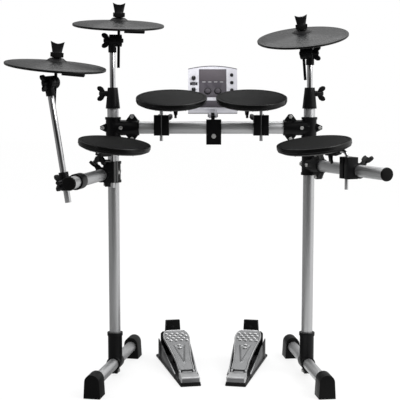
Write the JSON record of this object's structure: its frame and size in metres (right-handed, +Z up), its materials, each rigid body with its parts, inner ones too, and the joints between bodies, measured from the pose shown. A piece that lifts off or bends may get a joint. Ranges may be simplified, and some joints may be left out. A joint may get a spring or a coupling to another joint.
{
  "type": "electronic drum kit",
  "caption": "Electronic drum kit: a tube rack on splayed rubber feet carries round rubber pads, tilting cymbal pads and a small sound module, with separate foot pedals.",
  "frame": {"origin": "on the floor, at the middle of the kit's footprint", "axes": "+Z up, +Y away from the player, +X to the player's right"},
  "size_m": [0.9698, 0.6727, 1.0666],
  "materials": {
    "tube": "satin silver",
    "boot": "matte black",
    "clamp": "moulded black",
    "bolt": "zinc",
    "wing": "moulded black",
    "pad_rubber": "matte dark grey",
    "cymbal_rubber": "matte dark grey",
    "tilter": "moulded black",
    "bumper": "matte black",
    "footboard": "cast, satin",
    "pedal_frame": "dark grey paint",
    "rod": "polished",
    "shell": "moulded black",
    "module_case": "silver white",
    "module_panel": "smoked",
    "control": "moulded black"
  },
  "bodies": {
    "rack": {"leg_tubes": "tube", "crossbar_tube": "tube", "base_tubes": "tube", "arm_tubes": "tube", "arm_caps": "boot", "foot_boots": "boot", "base_clamps": "clamp", "tee_clamps": "clamp", "clamp_bolts": "bolt", "leg_collars": "clamp", "rod_clamps": "clamp", "wing_bolts": "wing", "module_clamp": "clamp"},
    "hihat_pedal": {"hihat_pedal_base": "pedal_frame", "hihat_pedal_bumper": "bumper"},
    "hihat_pedal_footboard": {"hihat_pedal_footboard": "footboard"},
    "kick_pedal": {"kick_pedal_base": "pedal_frame", "kick_pedal_bumper": "bumper"},
    "kick_pedal_footboard": {"kick_pedal_footboard": "footboard"},
    "hihat_rod": {"hihat_rod": "rod", "hihat_tilter": "tilter"},
    "hihat_stem": {"hihat_stem": "tilter"},
    "hihat_cymbal": {"hihat_shell": "shell", "hihat_skin": "cymbal_rubber"},
    "hihat_wing_nut": {"hihat_wing_nut": "wing"},
    "crash_rod": {"crash_rod": "rod", "crash_tilter": "tilter"},
    "crash_stem": {"crash_stem": "tilter"},
    "crash_cymbal": {"crash_shell": "shell", "crash_skin": "cymbal_rubber"},
    "crash_wing_nut": {"crash_wing_nut": "wing"},
    "ride_rod": {"ride_rod": "rod", "ride_tilter": "tilter"},
    "ride_stem": {"ride_stem": "tilter"},
    "ride_cymbal": {"ride_shell": "shell", "ride_skin": "cymbal_rubber"},
    "ride_wing_nut": {"ride_wing_nut": "wing"},
    "snare_rod": {"snare_rod": "rod"},
    "snare_pad": {"snare_shell": "shell", "snare_head": "pad_rubber"},
    "tom_1_rod": {"tom_1_rod": "rod"},
    "tom_1_pad": {"tom_1_shell": "shell", "tom_1_head": "pad_rubber"},
    "tom_2_rod": {"tom_2_rod": "rod"},
    "tom_2_pad": {"tom_2_shell": "shell", "tom_2_head": "pad_rubber"},
    "floor_tom_rod": {"floor_tom_rod": "rod"},
    "floor_tom_pad": {"floor_tom_shell": "shell", "floor_tom_head": "pad_rubber"},
    "module": {"module_case": "module_case", "module_back": "module_case", "module_panel": "module_panel"},
    "upper_knob": {"upper_knob": "control"},
    "slide_switch": {"slide_switch": "control"},
    "lower_knob": {"lower_knob": "control"},
    "upper_button": {"upper_button": "control"},
    "middle_button": {"middle_button": "control"},
    "lower_button": {"lower_button": "control"},
    "left_pad_button": {"left_pad_button": "control"},
    "right_pad_button": {"right_pad_button": "control"}
  },
  "joints": [
    {"name": "hihat_pedal_press", "type": "hinge", "parent": "hihat_pedal", "child": "hihat_pedal_footboard", "pos_m": [-0.03485, 0.05295, 0.019], "axis": [-0.9826, -0.1857, 0], "range_deg": [0, 11], "stiffness_Nm_per_rad": 12, "springref_deg": -5.73, "deforming": ["hihat_pedal_bumper"]},
    {"name": "kick_pedal_press", "type": "hinge", "parent": "kick_pedal", "child": "kick_pedal_footboard", "pos_m": [0.11365, 0.05295, 0.019], "axis": [-0.9826, 0.1857, 0], "range_deg": [0, 11], "stiffness_Nm_per_rad": 12, "springref_deg": -5.73, "deforming": ["kick_pedal_bumper"]},
    {"name": "hihat_pedal_place", "type": "slide", "parent": "rack", "child": "hihat_pedal", "axis": [-0.1857, 0.9826, 0], "range_m": [-0.06, 0.04]},
    {"name": "kick_pedal_place", "type": "slide", "parent": "rack", "child": "kick_pedal", "axis": [0.1857, 0.9826, 0], "range_m": [-0.06, 0.04]},
    {"name": "hihat_rock", "type": "hinge", "parent": "hihat_stem", "child": "hihat_cymbal", "pos_m": [-0.35818, -0.19275, 0.88875], "axis": [0.996, 0.0142, -0.088], "range_deg": [-5, 5], "stiffness_Nm_per_rad": 8},
    {"name": "crash_rock", "type": "hinge", "parent": "crash_stem", "child": "crash_cymbal", "pos_m": [-0.22347, 0.09316, 1.00991], "axis": [0.9995, 0.0026, -0.0323], "range_deg": [-5, 5], "stiffness_Nm_per_rad": 8},
    {"name": "ride_rock", "type": "hinge", "parent": "ride_stem", "child": "ride_cymbal", "pos_m": [0.28743, 0.09109, 0.97745], "axis": [0.994, -0.0142, 0.1081], "range_deg": [-5, 5], "stiffness_Nm_per_rad": 8},
    {"name": "hihat_tilt", "type": "hinge", "parent": "hihat_rod", "child": "hihat_stem", "pos_m": [-0.37773, -0.19864, 0.84127], "axis": [0.4491, 0.891, 0.0668], "range_deg": [-25, 25]},
    {"name": "crash_tilt", "type": "hinge", "parent": "crash_rod", "child": "crash_stem", "pos_m": [-0.2436, 0.1061, 0.962], "axis": [0.9806, 0.1959, 0], "range_deg": [-25, 25]},
    {"name": "ride_tilt", "type": "hinge", "parent": "ride_rod", "child": "ride_stem", "pos_m": [0.3124, 0.1061, 0.927], "axis": [0.9219, -0.3875, 0], "range_deg": [-25, 25]},
    {"name": "hihat_height", "type": "slide", "parent": "rack", "child": "hihat_rod", "axis": [-0.1471, 0, 0.9891], "range_m": [-0.06, 0.025]},
    {"name": "crash_height", "type": "slide", "parent": "rack", "child": "crash_rod", "axis": [0, 0, 1], "range_m": [-0.045, 0.06]},
    {"name": "ride_height", "type": "slide", "parent": "rack", "child": "ride_rod", "axis": [0, 0, 1], "range_m": [-0.02, 0.06]},
    {"name": "snare_tilt", "type": "hinge", "parent": "snare_rod", "child": "snare_pad", "pos_m": [-0.25891, -0.01732, 0.657], "axis": [0.7181, 0.6959, 0], "range_deg": [-12, 15]},
    {"name": "tom_1_tilt", "type": "hinge", "parent": "tom_1_rod", "child": "tom_1_pad", "pos_m": [-0.0756, 0.0787, 0.7815], "axis": [1, 0, 0], "range_deg": [-12, 15]},
    {"name": "tom_2_tilt", "type": "hinge", "parent": "tom_2_rod", "child": "tom_2_pad", "pos_m": [0.1444, 0.0787, 0.7815], "axis": [1, 0, 0], "range_deg": [-12, 15]},
    {"name": "floor_tom_tilt", "type": "hinge", "parent": "floor_tom_rod", "child": "floor_tom_pad", "pos_m": [0.35357, -0.09547, 0.6645], "axis": [0.7071, -0.7071, 0], "range_deg": [-12, 15]},
    {"name": "snare_swivel", "type": "hinge", "parent": "rack", "child": "snare_rod", "pos_m": [-0.23629, 0.0046, 0.657], "axis": [0, 0, 1], "range_deg": [-20, 20]},
    {"name": "tom_1_swivel", "type": "hinge", "parent": "rack", "child": "tom_1_rod", "pos_m": [-0.1056, 0.0787, 0.7815], "axis": [0, 0, 1], "range_deg": [-12, 12]},
    {"name": "tom_2_swivel", "type": "hinge", "parent": "rack", "child": "tom_2_rod", "pos_m": [0.1744, 0.0787, 0.7815], "axis": [0, 0, 1], "range_deg": [-12, 12]},
    {"name": "floor_tom_swivel", "type": "hinge", "parent": "rack", "child": "floor_tom_rod", "pos_m": [0.38539, -0.12729, 0.6645], "axis": [0, 0, 1], "range_deg": [-20, 20]},
    {"name": "module_tilt", "type": "hinge", "parent": "rack", "child": "module", "pos_m": [0.0394, 0.13989, 0.75207], "axis": [-1, 0, 0], "range_deg": [-10, 15]},
    {"name": "upper_knob_turn", "type": "hinge", "parent": "module", "child": "upper_knob", "pos_m": [-0.0156, 0.17987, 0.85709], "axis": [0, -0.8829, 0.4695], "range_deg": [-150, 150]},
    {"name": "slide_switch_slide", "type": "slide", "parent": "module", "child": "slide_switch", "axis": [1, 0, 0], "range_m": [-0.005, 0.005]},
    {"name": "lower_knob_turn", "type": "hinge", "parent": "module", "child": "lower_knob", "pos_m": [-0.0156, 0.16227, 0.82398], "axis": [0, -0.8829, 0.4695], "range_deg": [-150, 150]},
    {"name": "upper_button_press", "type": "slide", "parent": "module", "child": "upper_button", "axis": [0, 0.8829, -0.4695], "range_m": [0, 0.0012], "stiffness_N_per_m": 800, "springref_m": -0.0008},
    {"name": "middle_button_press", "type": "slide", "parent": "module", "child": "middle_button", "axis": [0, 0.8829, -0.4695], "range_m": [0, 0.0012], "stiffness_N_per_m": 800, "springref_m": -0.0008},
    {"name": "lower_button_press", "type": "slide", "parent": "module", "child": "lower_button", "axis": [0, 0.8829, -0.4695], "range_m": [0, 0.0012], "stiffness_N_per_m": 800, "springref_m": -0.0008},
    {"name": "left_pad_button_press", "type": "slide", "parent": "module", "child": "left_pad_button", "axis": [0, 0.8829, -0.4695], "range_m": [0, 0.0012], "stiffness_N_per_m": 800, "springref_m": -0.0008},
    {"name": "right_pad_button_press", "type": "slide", "parent": "module", "child": "right_pad_button", "axis": [0, 0.8829, -0.4695], "range_m": [0, 0.0012], "stiffness_N_per_m": 800, "springref_m": -0.0008},
    {"name": "hihat_nut_turn", "type": "hinge", "parent": "hihat_stem", "child": "hihat_wing_nut", "pos_m": [-0.35354, -0.19894, 0.94018], "axis": [0.0891, -0.119, 0.9889], "continuous": true},
    {"name": "crash_nut_turn", "type": "hinge", "parent": "crash_stem", "child": "crash_wing_nut", "pos_m": [-0.22186, 0.08507, 1.05923], "axis": [0.0323, -0.1618, 0.9863], "continuous": true},
    {"name": "ride_nut_turn", "type": "hinge", "parent": "ride_stem", "child": "ride_wing_nut", "pos_m": [0.28257, 0.07952, 1.02066], "axis": [-0.1081, -0.2572, 0.9603], "continuous": true}
  ]
}
